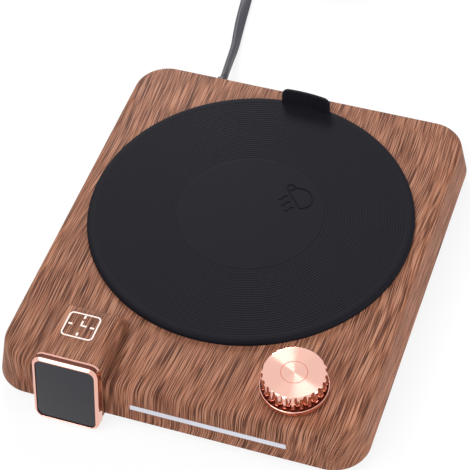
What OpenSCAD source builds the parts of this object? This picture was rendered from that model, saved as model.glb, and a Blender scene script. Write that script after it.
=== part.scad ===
// Warming plate for a jar or cup: wood-grain housing, silicone mat, turn-and-press knob,
// upright display on a pod, light bar and flat mains lead. Millimetres, +Z up, front at -Y.

/* [Housing] */
// Width of the deck, side to side
deck_w = 150; // [146:1:170]
// Depth of the strip in front of the mat that holds the knob and the display
control_l = 29.9; // [29.5:0.1:36]
// Height of the housing from its lower edge to the deck
wall_h = 17.2; // [17:0.2:21]
// Height of the feet under the housing
foot_h = 5.5; // [5.5:0.5:8]
// How far each wall leans out at its lower edge
flare = 2.7; // [1:0.1:3.5]
// Corner radius of the deck
corner_r = 14.5; // [12:0.5:18]
// Rounding of the deck's edge
edge_r = 2.5; // [1:0.5:3]
// Thickness of the housing's walls
shell_t = 2.4; // [2:0.1:2.8]
// Thickness of the base cover
base_t = 2; // [1.6:0.1:2.4]

/* [Heater] */
// Room between the mat and each side of the deck
mat_side = 6; // [5:0.5:8]
// Thickness of the mat
mat_t = 2.2; // [1.6:0.1:3]
// Room between the mat and the deck's back edge
mat_back = 7.1; // [5:0.1:10]
// How far the mat reaches past the heating plate
plate_in = 6; // [5:0.5:10]
// Thickness of the heating plate's flange
flange_t = 1.2; // [0.8:0.1:1.4]
// Width of the ledge that carries the flange
ledge_w = 3; // [2:0.5:4]
// Thickness of the heating element
element_t = 0.6; // [0.4:0.1:1]
// Thickness of the insulation pad
pad_t = 3; // [2:0.5:4]
// Thickness of the heat shield's sheet
shield_t = 0.8; // [0.5:0.1:1.2]

/* [Mat tab] */
// Width of the lift tab
tab_w = 22.6; // [16:0.2:28]
// Height of the lift tab above the deck
tab_h = 9; // [6:0.5:12]
// Thickness of the lift tab at its top
tab_t = 1.6; // [1.2:0.1:2.2]
// Thickness of the lift tab at its foot
tab_foot_t = 2.8; // [2.4:0.1:3.4]
// Turn of the mat that puts the tab off the centre line, in degrees
tab_turn = 3; // [-10:1:10]

/* [Knob] */
// Distance from the knob's axis to the deck's right edge
knob_side = 30; // [28:0.5:34]
// Distance from the knob's axis to the deck's front edge
knob_front = 18.2; // [18:0.2:22]
// Diameter of the fluted part
knob_d = 25.6; // [24:0.2:28]
// Diameter of the skirt under the flutes
skirt_d = 27.4; // [26:0.2:30]
// Height of the knob's top above the deck
knob_h = 11.4; // [11.2:0.1:15]
// Number of flutes
flutes = 24; // [20:2:40]
// Travel of the knob when it is pressed
press_travel = 0.5; // [0.3:0.1:0.7]
// Diameter of the encoder's shaft
shaft_d = 6; // [5:0.5:6]

/* [Display] */
// Width of the bezel
bezel_w = 28.4; // [27:0.2:30]
// Height of the bezel along its face
bezel_h = 33.4; // [32:0.2:35]
// Depth of the bezel
bezel_t = 3.8; // [3.4:0.1:4.5]
// Corner radius of the bezel
bezel_r = 5.2; // [4.8:0.1:6]
// Lean of the display's face from upright, in degrees
face_lean = 10.6; // [6:0.2:14]
// Gap between the bezel and the table
bezel_clear = 0.9; // [0.6:0.1:2]
// Distance from the display's centre line to the deck's left edge
display_side = 33.5; // [32:0.5:36]
// How far the pod stands out past the housing's lower front edge
pod_out = 3; // [2.5:0.1:4]
// Height of the pod's back above the deck
pod_h = 9.7; // [8:0.1:11]
// Length of the pod's top
pod_l = 27.5; // [26:0.5:29]
// Thickness of the pod's walls
pod_t = 1.6; // [1.4:0.1:2]

/* [Light bar] */
// Length of the light bar
bar_l = 64.5; // [50:0.5:66]
// Height of the light bar's face
bar_h = 2.3; // [1.8:0.1:3]
// Distance from the light bar's middle to the deck's right edge
bar_side = 59.8; // [57:0.2:61]
// Height of the light bar's middle above the housing's lower edge
bar_z = 6.7; // [6.2:0.1:7.5]
// Number of light sources behind the bar
bar_leds = 8; // [4:1:12]

/* [Cord] */
// Width of the flat lead
cord_w = 5.2; // [4.8:0.1:5.6]
// Thickness of the flat lead
cord_t = 2.8; // [2.4:0.1:3]
// Distance from the cord's gland to the deck's left edge
gland_side = 32; // [30:0.5:40]
// Height of the gland's middle above the housing's lower edge
gland_z = 4; // [4:0.1:6]
// Radius of the coil's outer loop
coil_r = 35; // [33:0.5:38]
// Step from one loop to the next
coil_step = 4.6; // [4.6:0.1:5]
// Loops in each of the coil's two layers
coil_loops = 2.875; // [1.875:0.5:3.375]
// Length of the plug's blades
blade_l = 17; // [15:0.5:18]

/* [Hidden] */
$fn = 64;

// Clearances: a sliding fit round a shaft, a loose fit, and a cut that runs past a face
fit = 0.05;
loose = 0.2;
past = 1;

// Plan: the mat fills the deck's width, and the deck is as long as the mat and its strips
mat_d = deck_w - 2 * mat_side;
plate_d = mat_d - 2 * plate_in;
deck_l = control_l + mat_d + mat_back;

// Levels from the table up
deck_z = foot_h + wall_h;
under_z = deck_z - shell_t;
base_z = foot_h + base_t;
wall_lean = atan(flare / wall_h);
wall_n = shell_t * cos(wall_lean);

// Self-tapping screws: shank, bore, clearance hole, head, boss and how deep each kind bites
screw_d = 2.4;
screw_bore = screw_d + 2 * fit;
screw_hole = 3.2;
head_d = 5.6;
head_h = 1.8;
boss_d = 7.6;
base_bite = 7;
shield_bite = 3;
board_bite = 4;

// Corner posts for the base cover's screws, and the feet
post_in = 14;
post_x = deck_w / 2 - post_in;
post_y = deck_l / 2 - post_in;
foot_d = 14;
foot_in = 25;
spigot_d = 5.8;

// Heater stack under the mat
plate_y = deck_l / 2 - mat_back - mat_d / 2;
opening_r = plate_d / 2 - ledge_w;
plate_drop = 0.4;
plate_z0 = under_z - plate_drop;
element_z0 = plate_z0 - element_t;
pad_z0 = element_z0 - pad_t;
shield_z0 = pad_z0 - shield_t;
stack_r = opening_r - 3;
shield_boss_d = 7;
shield_boss_r = opening_r + 6;
sensor_d = 8;
sensor_hole = 10;
fuse_d = 4;
fuse_l = 11;
fuse_x = 20;
fuse_back = 15;
fuse_y = plate_y + fuse_back;
clip_wall = 2;
clip_l = 5;
shield_rim = 2;
ear_rim = 1;
heater_lead_in = 8;
heater_lead_y = plate_y - stack_r + heater_lead_in;

// Mat: rings pressed into its top between a plain middle and a plain rim
mat_edge_r = 1.6;
ring_step = 1.7;
ring_depth = 0.3;
ring_w = 0.7 * ring_step;
ring_in = 0.45 * mat_d / 2;
ring_out = 0.92 * mat_d / 2;
ring_count = floor((ring_out - ring_in) / ring_step);

// Knob and encoder, on one upright axis
knob_x = deck_w / 2 - knob_side;
knob_y = -deck_l / 2 + knob_front;
knob_gap = press_travel + 0.3;
skirt_h = 3;
knob_wall = 2.2;
top_t = 2;
flute_depth = 0.9;
ring_cut_r = 5.4;
ring_cut_w = 0.4;
ring_cut_depth = 0.2;
core_z0 = deck_z + knob_gap + 3;
cap_z0 = deck_z + knob_gap;
cap_z1 = deck_z + knob_h;
encoder_w = 12;
encoder_l = 13.2;
encoder_h = 6.5;
encoder_z0 = under_z - encoder_h;
encoder_base_t = 1.2;
bushing_d = 7;
bushing_l = 7;
washer_d = 12;
washer_t = 0.5;
nut_af = 10;
nut_t = 2;
rotor_d = 10.2;
rotor_t = 2.6;
rotor_z0 = encoder_z0 + encoder_base_t + 1.2;
dome_h = 0.4;
shaft_z0 = encoder_z0 + encoder_base_t + dome_h + press_travel + fit;
shaft_z1 = cap_z1 - top_t - loose;
flat_cut = shaft_d / 4;

// Control board, hung from the deck beside the encoder
board_t = 1.6;
board_z0 = encoder_z0 - board_t;
board_left = 51;
board_right = 13;
board_front = 12.2;
board_back = 13.8;
board_x0 = knob_x - board_left;
board_x1 = knob_x + board_right;
board_y0 = knob_y - board_front;
board_y1 = knob_y + board_back;
board_in = 3;
board_boss_d = 5.5;
part_in = [8, 5];
part_x = board_x0 + part_in[0];
part_y = board_y0 + part_in[1];
part_gap = 3;
transformer_size = [16, 15, 6];
relay_size = [15, 10, 6];
buzzer_d = 9;
buzzer_h = 4;
buzzer_hole_d = 2;
buzzer_in = [34, 6];
buzzer_x = board_x0 + buzzer_in[0];
buzzer_y = board_y1 - buzzer_in[1];
terminal_w = 18;
terminal_l = 8;
terminal_h = 4.2;
terminal_y = board_y1;

// Display pod: frame of the bezel's back plane, which leans back
pod_x = -deck_w / 2 + display_side;
face_z = bezel_clear + bezel_h / 2 * cos(face_lean);
face_y = -deck_l / 2 - flare - pod_out + (face_z - foot_h) * tan(face_lean);
pod_in = 0.9;
pod_straight = 4;
pod_w = bezel_w - 2 * pod_in;
pod_face_h = bezel_h - 2 * pod_in;
pod_r = bezel_r - pod_in;
pod_top_z = deck_z + pod_h;
pod_back_y = face_y + pod_face_h / 2 * sin(face_lean) + pod_l;
pod_back_run = 5;
pod_back_r = 3.4;

// Underside of the pod's roof in side view: where it starts behind the face, and its lean to the rounded back
roof_up = pod_face_h / 2 - pod_t;
roof_y = face_y + roof_up * sin(face_lean) + pod_straight * cos(face_lean);
roof_z = face_z + roof_up * cos(face_lean) - pod_straight * sin(face_lean);
roof_run = [pod_back_y - pod_back_r - roof_y, pod_top_z - pod_back_r - roof_z];
roof_lean = atan2(roof_run[1], roof_run[0]) + asin((pod_back_r - pod_t) / norm(roof_run));

// Display: the bezel's steps and sleeve, the lens, the lit module and the touch pad
sleeve_l = 3.2;
sleeve_t = 1;
lens_rim = 1.4;
lens_t = 1.05;
lens_w = bezel_w - 2 * lens_rim;
lens_h = bezel_h - 2 * lens_rim;
lens_r = bezel_r - lens_rim;
step_in = 0.35;
step_h = 1.2;
groove_in = 0.6;
groove_h = 1.6;
module_w = pod_w - 2 * (pod_t + sleeve_t) - 2 * loose;
module_h = pod_face_h - 2 * (pod_t + sleeve_t) - 2 * loose;
module_t = 4.5;
display_board_t = 1.2;
touch_w = 14;
touch_l = 12;
touch_t = 0.5;
touch_in = 1.4;
cable_slot_w = 8;
cable_slot_h = 12;

// Light bar in the front wall, in a frame whose Z points out of the wall
bar_x = deck_w / 2 - bar_side;
bar_y = -deck_l / 2 - flare * (1 - bar_z / wall_h);
bar_flange = 2;
flange_depth = 1.2;
led_w = 3;
led_h = 1.6;
led_t = 1.2;
light_board_t = 1;

// Gland in the back wall, in a frame whose Z points to the back
gland_x = -deck_w / 2 + gland_side;
gland_y = deck_l / 2 + flare * (1 - gland_z / wall_h);
gland_neck_d = 6.8;
gland_flange_d = 7.8;
gland_flange_t = 1.4;
gland_collar_d = 7.6;
gland_collar_l = 10;
gland_collar_gap = 0.9;
gland_tail_l = 6.8;
gland_tip_h = cord_w + 0.5;
gland_tip_w = cord_t + 0.6;
gland_reach = gland_flange_t + gland_tail_l;
gland_inner = shell_t + gland_collar_gap + gland_collar_l;

// Wires inside: diameter and their height over the base cover
wire_d = 1.6;
wire_z = base_z + 2.6;
wire_step = 3;
wire_bend = 1.5;
wire_run = 6;
wire_side = 4;
wire_swing = 22;

// Free stretch of the cord: place of each ring, then its roll (90 stands on edge, 0 lies flat)
gland_mid = [gland_x, gland_y, foot_h + gland_z];
gland_tip = gland_mid + [0, gland_reach, 0];
tie_t = 0.7;
tie_gap = 0.2;
edge_z = cord_w / 2 + tie_t + tie_gap;
coil_x = -22;
coil_y = 218;
coil_start = [coil_x - coil_r, coil_y - cord_w, edge_z];
cord_route = [
    concat(gland_tip, 90),
    concat(gland_tip + [0, cord_t, 0], 90),
    [-43.9, 106, 8.3, 90],
    [-45.2, 113, 6, 86],
    [-46.3, 120, 4.2, 80],
    [-47.4, 128, 3.1, 70],
    [-48.9, 136, 2.7, 54],
    [-50.7, 146, 2.2, 34],
    [-52.4, 157, 1.8, 14],
    [-53.7, 166, 1.7, 10],
    [-55, 176, 2.4, 35],
    [-56.2, 186, 3, 65],
    [-56.9, 196, edge_z, 86],
    [-57, 205, edge_z, 90],
    concat(coil_start, 90)
];
cord_corners = [[1, 0.5], [0.6, 1], [-0.6, 1], [-1, 0.5], [-1, -0.5], [-0.6, -1], [0.6, -1], [1, -0.5]];
cord_section = [for (q = cord_corners) [q[0] * cord_w / 2, q[1] * cord_t / 2]];

// Coil: two layers, inward on the table and outward on top, with the climb at the turning point
layer_gap = 0.55;
coil_rings = 24;
coil_turns = 2 * coil_loops + 0.5;
plug_run = 0.6 * coil_r;
upper_z = edge_z + cord_w + layer_gap;
coil_shape = [[0.5, 1], [1, 0], [0.5, -1], [-0.5, -1], [-1, 0], [-0.5, 1]];
coil_section = [for (q = coil_shape) [q[0] * cord_w / 2, q[1] * cord_t / 2]];

// Plug with two flat blades
plug_w = 24;
plug_l = 24;
plug_h = 2 * upper_z;
plug_r = 4;
plug_tail_l = 10;
plug_tail_d = 8;
plug_tail_grow = 3;
blade_t = 1.5;
blade_w = 6.3;
blade_gap = 12.7;
blade_sunk = 6;
plug_start = [coil_x + plug_run, coil_y + coil_r, upper_z];

// Gap of the coil to itself, measured between the corners of rings over half a loop apart
coil_path = coil_points();
coil_corners = sweep_points(coil_path, coil_section);
coil_gap = min([for (i = [0 : len(coil_path) - 1], j = [i + coil_rings / 2 : 1 : len(coil_path) - 1])
    if (norm(coil_path[i] - coil_path[j]) < 3 * cord_w) ring_gap(i, j)]);
echo(coil_gap = coil_gap);

function ring_gap(i, j) = let (k = len(coil_section))
    min([for (a = [0 : k - 1], b = [0 : k - 1]) norm(coil_corners[i * k + a] - coil_corners[j * k + b])]);

function smooth(t) = let (s = max(0, min(1, t))) s * s * (3 - 2 * s);

// One ring of the coil after u turns
function coil_point(u) = let (
    half = coil_turns / 2,
    r = coil_r - coil_step * (u < half ? u : coil_turns - u),
    climb = smooth((u - coil_loops) / 0.5),
    a = 180 - 360 * u
) [coil_x + r * cos(a), coil_y + r * sin(a), edge_z + climb * (upper_z - edge_z), 90];

function coil_points() = concat(
    [concat(coil_start, 90)],
    [for (i = [0 : coil_turns * coil_rings]) coil_point(i / coil_rings)],
    [concat(plug_start, 90)]
);

// Corners of a flat section swept along a path of places and rolls
function unit(v) = v / norm(v);
function place(p) = [p[0], p[1], p[2]];
function path_dir(path, i) = let (n = len(path) - 1)
    i == 0 ? unit(place(path[1]) - place(path[0])) :
    i == n ? unit(place(path[n]) - place(path[n - 1])) :
    unit(unit(place(path[i + 1]) - place(path[i])) + unit(place(path[i]) - place(path[i - 1])));
function sweep_points(path, section) = [
    for (i = [0 : len(path) - 1])
        let (
            dir = path_dir(path, i),
            side = abs(dir[2]) > 0.99 ? [1, 0, 0] : unit(cross([0, 0, 1], dir)),
            up = cross(dir, side),
            roll = path[i][3],
            wide = cos(roll) * side + sin(roll) * up,
            thin = cos(roll) * up - sin(roll) * side
        )
        for (q = section) place(path[i]) + q[0] * wide + q[1] * thin
];
function sweep_faces(rings, k) = concat(
    [for (i = [1 : k - 2]) [0, i, i + 1]],
    [for (i = [1 : k - 2]) [(rings - 1) * k, (rings - 1) * k + i + 1, (rings - 1) * k + i]],
    [for (r = [0 : rings - 2], i = [0 : k - 1]) [r * k + i, (r + 1) * k + i, r * k + (i + 1) % k]],
    [for (r = [0 : rings - 2], i = [0 : k - 1])
        [r * k + (i + 1) % k, (r + 1) * k + i, (r + 1) * k + (i + 1) % k]]
);
function round_section(d, k) = [for (i = [0 : k - 1]) d / 2 * [cos(-360 * i / k), sin(-360 * i / k)]];

module swept(path, section) {
    polyhedron(sweep_points(path, section), sweep_faces(len(path), len(section)), convexity = 10);
}

module wire(points) {
    swept([for (p = points) concat(p, 0)], round_section(wire_d, 6));
}

// Flat plate with rounded corners, centred on the axes
module rounded_plate(w, l, r, t) {
    linear_extrude(t) {
        square([w - 2 * r, l], center = true);
        square([w, l - 2 * r], center = true);
        for (x = [-1, 1], y = [-1, 1])
            translate([x * (w / 2 - r), y * (l / 2 - r)]) circle(r);
    }
}

module at_posts() {
    for (x = [-1, 1], y = [-1, 1]) translate([x * post_x, y * post_y, 0]) children();
}

module at_feet() {
    for (x = [-1, 1], y = [-1, 1])
        translate([x * (deck_w / 2 - foot_in), y * (deck_l / 2 - foot_in), 0]) children();
}

module at_plate() {
    translate([0, plate_y, 0]) children();
}

module at_shield_bosses() {
    at_plate() for (a = [45 : 90 : 315]) rotate(a) translate([shield_boss_r, 0, 0]) rotate(-a) children();
}

module at_knob() {
    translate([knob_x, knob_y, 0]) children();
}

module at_board_holes() {
    for (x = [board_x0 + board_in, board_x1 - board_in], y = [board_y0 + board_in, board_y1 - board_in])
        translate([x, y, 0]) children();
}

module at_face() {
    translate([pod_x, face_y, face_z]) rotate([90 - face_lean, 0, 0]) children();
}

module at_bar() {
    translate([bar_x, bar_y, foot_h + bar_z]) rotate([90 - wall_lean, 0, 0]) children();
}

module at_gland() {
    translate(gland_mid) rotate([-90, 0, 0]) children();
}

// Pan-head screw pointing up, with its head's upper face at z = 0
module screw(l) {
    translate([0, 0, -head_h]) cylinder(d = head_d, h = head_h);
    cylinder(d = screw_d, h = l);
}

// Outer form of the housing: four turned corner posts with a rounded upper edge, joined
module body_form() {
    arc_x = corner_r + edge_r * tan(wall_lean) - edge_r / cos(wall_lean);
    arc = [for (i = [0 : 6]) let (a = wall_lean + (90 - wall_lean) * i / 6)
        [arc_x + edge_r * cos(a), deck_z - edge_r + edge_r * sin(a)]];
    hull()
        for (x = [-1, 1], y = [-1, 1])
            translate([x * (deck_w / 2 - corner_r), y * (deck_l / 2 - corner_r), 0])
                rotate_extrude($fn = 48)
                    polygon(concat([[0, foot_h], [corner_r + flare, foot_h]], arc, [[0, deck_z]]));
}

module body_cavity() {
    drop = flare * past / wall_h;
    hull()
        for (x = [-1, 1], y = [-1, 1])
            translate([x * (deck_w / 2 - corner_r), y * (deck_l / 2 - corner_r), foot_h - past])
                cylinder(r1 = corner_r + flare + drop - shell_t,
                    r2 = corner_r + flare * shell_t / wall_h - shell_t,
                    h = under_z - foot_h + past, $fn = 48);
}

// Form of the pod, drawn in by an inset; its front runs past the bezel's plane by front
module pod_form(inset, front) {
    w = pod_w - 2 * inset;
    h = pod_face_h - 2 * inset;
    r = pod_r - inset;
    back_r = pod_back_r - inset;
    side = w / 2 - back_r;
    hull() {
        at_face()
            for (x = [-1, 1], y = [-1, 1])
                translate([x * (w / 2 - r), y * (h / 2 - r), -pod_straight])
                    cylinder(r = r, h = pod_straight + front, $fn = 32);
        for (x = [-1, 1]) {
            translate([pod_x + x * side, pod_back_y - pod_back_r, pod_top_z - pod_back_r])
                sphere(back_r, $fn = 32);
            translate([pod_x + x * side, pod_back_y + pod_back_run - pod_back_r, deck_z - shell_t])
                cylinder(r = back_r, h = shell_t, $fn = 32);
        }
    }
}

// Boss that hangs from the deck down to a level
module boss(d, z) {
    translate([0, 0, z]) cylinder(d = d, h = deck_z - past - z);
}

// Moulded shell: deck with the plate's opening, leaning walls, the display pod and screw bosses
module top_housing() color("#9c6b50") difference() {
    union() {
        difference() {
            body_form();
            body_cavity();
        }
        pod_form(0, 0);
        at_posts() boss(boss_d, base_z);
        at_shield_bosses() boss(shield_boss_d, shield_z0 + shield_t);
        at_board_holes() boss(board_boss_d, encoder_z0);
    }
    pod_form(pod_t, past);
    at_plate() {
        translate([0, 0, base_z]) cylinder(r = opening_r + loose, h = deck_z - base_z + past);
        translate([0, 0, deck_z - flange_t]) cylinder(d = plate_d + 2 * loose, h = flange_t + past);
    }
    at_posts() translate([0, 0, base_z - past]) cylinder(d = screw_bore, h = under_z - base_z);
    at_shield_bosses() translate([0, 0, shield_z0]) cylinder(d = screw_bore, h = under_z - shield_z0);
    at_board_holes() translate([0, 0, board_z0]) cylinder(d = screw_bore, h = under_z - board_z0);
    at_knob() translate([0, 0, under_z - past]) cylinder(d = bushing_d + 2 * fit, h = shell_t + 2 * past);
    at_bar() translate([0, 0, -wall_n]) cube([bar_l + 2 * fit, bar_h + 2 * fit, 3 * wall_n], center = true);
    at_gland() translate([0, 0, -2 * shell_t]) cylinder(d = gland_neck_d + 2 * fit, h = 3 * shell_t);
    // Slot in the pod's floor for the display's cable
    translate([pod_x - cable_slot_w / 2, pod_back_y - pod_l / 2 - cable_slot_w / 2, deck_z - cable_slot_h])
        cube([cable_slot_w, cable_slot_w, cable_slot_h]);
}

// Moulded cover that closes the housing from below, with a row of vents
module base_cover() color("#3a3634") difference() {
    in = shell_t + loose + flare * base_t / wall_h;
    vent_w = 2.4;
    vent_l = 30;
    translate([0, 0, foot_h])
        rounded_plate(deck_w + 2 * (flare - in), deck_l + 2 * (flare - in), corner_r + flare - in, base_t);
    at_posts() translate([0, 0, foot_h - past]) cylinder(d = screw_hole, h = base_t + 2 * past);
    at_feet() translate([0, 0, foot_h - past]) cylinder(d = spigot_d + 2 * fit, h = base_t + 2 * past);
    for (i = [-3 : 3])
        translate([i * 3 * vent_w - vent_w / 2, plate_y - vent_l / 2, foot_h - past])
            cube([vent_w, vent_l, base_t + 2 * past]);
    pod_form(-loose, 0);
    // Notch for the gland's collar
    translate([gland_x - gland_collar_d / 2 - loose, gland_y - gland_inner - loose, foot_h - past])
        cube([gland_collar_d + 2 * loose, gland_inner + past, base_t + 2 * past]);
}

// Push-in feet with a spigot through the base cover
module rubber_feet() color("#1b1b1d") at_feet() {
    cylinder(d = foot_d, h = foot_h);
    cylinder(d = spigot_d, h = base_z);
}

module base_screws() color("#8d9095") at_posts() translate([0, 0, foot_h]) screw(base_t + base_bite);

// Loose silicone mat: rounded rim, pressed rings and an upright lift tab at the back
module silicone_mat() color("#2c2b30") at_plate() translate([0, 0, deck_z]) rotate(-tab_turn) {
    r = mat_d / 2;
    rim = [for (i = [0 : 5]) let (a = 90 * i / 5)
        [r - mat_edge_r + mat_edge_r * cos(a), mat_t - mat_edge_r + mat_edge_r * sin(a)]];
    rings = [for (i = [ring_count - 1 : -1 : 0]) let (m = ring_in + i * ring_step)
        each [[m + ring_w, mat_t], [m + ring_w / 2, mat_t - ring_depth], [m, mat_t]]];
    rotate_extrude($fn = 128) polygon(concat([[0, 0], [r, 0]], rim, rings, [[0, mat_t]]));
    tab_r = 3;
    intersection() {
        rotate_extrude($fn = 128)
            polygon([[r - tab_foot_t, 0], [r, 0], [r, tab_h], [r - tab_t, tab_h], [r - tab_foot_t, mat_t]]);
        translate([0, r + past, 0]) rotate([90, 0, 0]) linear_extrude(r / 2) {
            translate([-tab_w / 2, 0]) square([tab_w, tab_h - tab_r]);
            translate([-tab_w / 2 + tab_r, 0]) square([tab_w - 2 * tab_r, tab_h]);
            for (x = [-1, 1]) translate([x * (tab_w / 2 - tab_r), tab_h - tab_r]) circle(tab_r);
        }
    }
}

// Aluminium plate: a flange in the deck's ledge and a body through the opening
module heating_plate() color("#b9bcc0") at_plate() {
    translate([0, 0, plate_z0]) cylinder(r = opening_r, h = deck_z - plate_z0);
    translate([0, 0, deck_z - flange_t]) cylinder(d = plate_d, h = flange_t);
}

module stack_disc(z, t) {
    at_plate() translate([0, 0, z]) difference() {
        cylinder(r = stack_r, h = t);
        translate([0, 0, -past]) cylinder(d = sensor_hole, h = t + 2 * past);
    }
}

module heating_element() color("#c98a3c") stack_disc(element_z0, element_t);

module lead_holes(z, t) {
    for (i = [0, 1])
        translate([heater_lead_x(i), heater_lead_y, z - past]) cylinder(d = 2 * wire_d, h = t + 2 * past);
}

module insulation_pad() color("#e8e4da") difference() {
    stack_disc(pad_z0, pad_t);
    lead_holes(pad_z0, pad_t);
}

// Sheet-metal dish that presses the stack up; four ears reach the deck's bosses
module heat_shield() color("#c4c6c8") difference() {
    ear_w = shield_boss_d + 2 * ear_rim;
    neck_w = shield_boss_d;
    neck_l = shield_boss_r - stack_r;
    union() {
        at_plate() translate([0, 0, shield_z0]) {
            cylinder(r = stack_r + shield_rim, h = shield_t);
            for (a = [45 : 90 : 315])
                rotate(a) translate([stack_r, -neck_w / 2, 0]) cube([neck_l, neck_w, shield_t]);
        }
        at_shield_bosses() translate([0, 0, shield_z0]) cylinder(d = ear_w, h = shield_t);
    }
    at_shield_bosses() translate([0, 0, shield_z0 - past]) cylinder(d = screw_hole, h = shield_t + 2 * past);
    at_plate() translate([0, 0, shield_z0 - past]) cylinder(d = 2 * wire_d, h = shield_t + 2 * past);
    lead_holes(shield_z0, shield_t);
}

module shield_screws() color("#8d9095")
    at_shield_bosses() translate([0, 0, shield_z0]) screw(shield_t + shield_bite);

// Bead sensor in a metal cup, pressed to the plate's underside
module temperature_sensor() color("#d8d2c4")
    at_plate() translate([0, 0, pad_z0]) cylinder(d = sensor_d, h = plate_z0 - pad_z0);

module at_fuse() {
    translate([fuse_x, fuse_y, shield_z0 - clip_wall / 2 - fuse_d / 2]) rotate([0, 90, 0]) children();
}

module thermal_fuse() color("#d9d9de") at_fuse() cylinder(d = fuse_d, h = fuse_l, center = true);

// Block clip that holds the fuse under the shield
module fuse_clip() color("#7f8388") at_fuse() difference() {
    cube([fuse_d + clip_wall, fuse_d + 2 * clip_wall, clip_l], center = true);
    cylinder(d = fuse_d + 2 * fit, h = clip_l + 2 * past, center = true);
}

// Turned cap: flutes cut into the side over a wider skirt, hollow from below
module knob_cap() color("#e8ae98") at_knob() difference() {
    r = knob_d / 2;
    steps = 8;
    fluted = [for (i = [0 : flutes * steps - 1]) let (
        a = 360 * i / (flutes * steps),
        m = r - flute_depth * (0.5 - 0.5 * cos(360 * i / steps))
    ) m * [cos(a), sin(a)]];
    union() {
        translate([0, 0, cap_z0]) cylinder(d = skirt_d, h = skirt_h);
        translate([0, 0, cap_z0]) linear_extrude(cap_z1 - cap_z0) polygon(fluted);
    }
    translate([0, 0, cap_z0 - past]) cylinder(r = r - knob_wall, h = cap_z1 - top_t - cap_z0 + past);
    // Ring cut into the top
    translate([0, 0, cap_z1 - ring_cut_depth]) difference() {
        cylinder(r = ring_cut_r, h = past);
        translate([0, 0, -past]) cylinder(r = ring_cut_r - ring_cut_w, h = 3 * past);
    }
}

module shaft_outline(d) {
    difference() {
        circle(d = d);
        translate([-d / 2, shaft_d / 2 - flat_cut + (d - shaft_d) / 2]) square(d);
    }
}

// Moulded core inside the cap, with a flatted bore for the shaft and room for the bushing
module knob_core() color("#2f2f33") at_knob() difference() {
    translate([0, 0, core_z0]) cylinder(d = knob_d - 2 * knob_wall - 2 * fit, h = cap_z1 - top_t - core_z0);
    translate([0, 0, core_z0 - past])
        cylinder(d = bushing_d + 1, h = under_z + bushing_l + knob_gap - core_z0 + past);
    translate([0, 0, core_z0]) linear_extrude(cap_z1 - core_z0) shaft_outline(shaft_d + 2 * fit);
}

module encoder_shaft() color("#b5b8bc") at_knob() {
    flat_z0 = under_z + bushing_l + knob_gap;
    translate([0, 0, shaft_z0]) cylinder(d = shaft_d, h = flat_z0 - shaft_z0);
    translate([0, 0, flat_z0]) linear_extrude(shaft_z1 - flat_z0) shaft_outline(shaft_d);
}

// Contact wheel that the shaft turns and slides through
module encoder_rotor() color("#d8d4c6") at_knob() difference() {
    translate([0, 0, rotor_z0]) cylinder(d = rotor_d, h = rotor_t);
    translate([0, 0, rotor_z0 - past]) cylinder(d = shaft_d + 2 * fit, h = rotor_t + 2 * past);
}

// Encoder case with its threaded bushing, open below
module encoder_body() color("#3d4148") at_knob() difference() {
    union() {
        translate([-encoder_w / 2, -encoder_l / 2, encoder_z0 + encoder_base_t])
            cube([encoder_w, encoder_l, encoder_h - encoder_base_t]);
        translate([0, 0, under_z]) cylinder(d = bushing_d, h = bushing_l);
    }
    translate([0, 0, encoder_z0]) cylinder(d = shaft_d + 2 * fit, h = encoder_h + bushing_l + past);
    translate([0, 0, encoder_z0]) cylinder(d = rotor_d + 2 * fit, h = rotor_z0 + rotor_t + fit - encoder_z0);
}

// Floor of the encoder, which carries the switch and stands on the control board
module encoder_base() color("#23262b") at_knob() {
    translate([-encoder_w / 2, -encoder_l / 2, encoder_z0]) cube([encoder_w, encoder_l, encoder_base_t]);
    translate([0, 0, encoder_z0 + encoder_base_t]) difference() {
        cylinder(d = rotor_d - 2 * fit, h = rotor_z0 - fit - encoder_z0 - encoder_base_t);
        translate([0, 0, -past]) cylinder(d = shaft_d + 2 * loose, h = 2 * past + rotor_z0 - encoder_z0);
    }
}

module switch_dome() color("#c9c3b0")
    at_knob() translate([0, 0, encoder_z0 + encoder_base_t]) cylinder(d = shaft_d, h = dome_h);

module encoder_washer() color("#a9adb3") at_knob() translate([0, 0, deck_z]) difference() {
    cylinder(d = washer_d, h = washer_t);
    translate([0, 0, -past]) cylinder(d = bushing_d + 2 * fit, h = washer_t + 2 * past);
}

module encoder_nut() color("#a9adb3") at_knob() translate([0, 0, deck_z + washer_t]) difference() {
    cylinder(d = nut_af / cos(30), h = nut_t, $fn = 6);
    translate([0, 0, -past]) cylinder(d = bushing_d + 2 * fit, h = nut_t + 2 * past);
}

module control_board() color("#1f5a3a") difference() {
    translate([board_x0, board_y0, board_z0]) cube([board_x1 - board_x0, board_y1 - board_y0, board_t]);
    at_board_holes() translate([0, 0, board_z0 - past]) cylinder(d = screw_hole, h = board_t + 2 * past);
    at_posts() translate([0, 0, board_z0 - past]) cylinder(d = boss_d + 1, h = board_t + 2 * past);
}

module board_screws() color("#8d9095")
    at_board_holes() translate([0, 0, board_z0]) screw(board_t + board_bite);

module transformer() color("#d7c25a") translate([part_x, part_y, encoder_z0]) cube(transformer_size);

module relay() color("#1c3f78")
    translate([part_x + transformer_size[0] + part_gap, part_y, encoder_z0]) cube(relay_size);

module buzzer() color("#141416") translate([buzzer_x, buzzer_y, encoder_z0]) difference() {
    cylinder(d = buzzer_d, h = buzzer_h);
    translate([0, 0, buzzer_h - past]) cylinder(d = buzzer_hole_d, h = 2 * past);
}

module terminal_block() color("#e6e6e2")
    translate([part_x, terminal_y - terminal_l, board_z0 - terminal_h])
        cube([terminal_w, terminal_l, terminal_h]);

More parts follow.
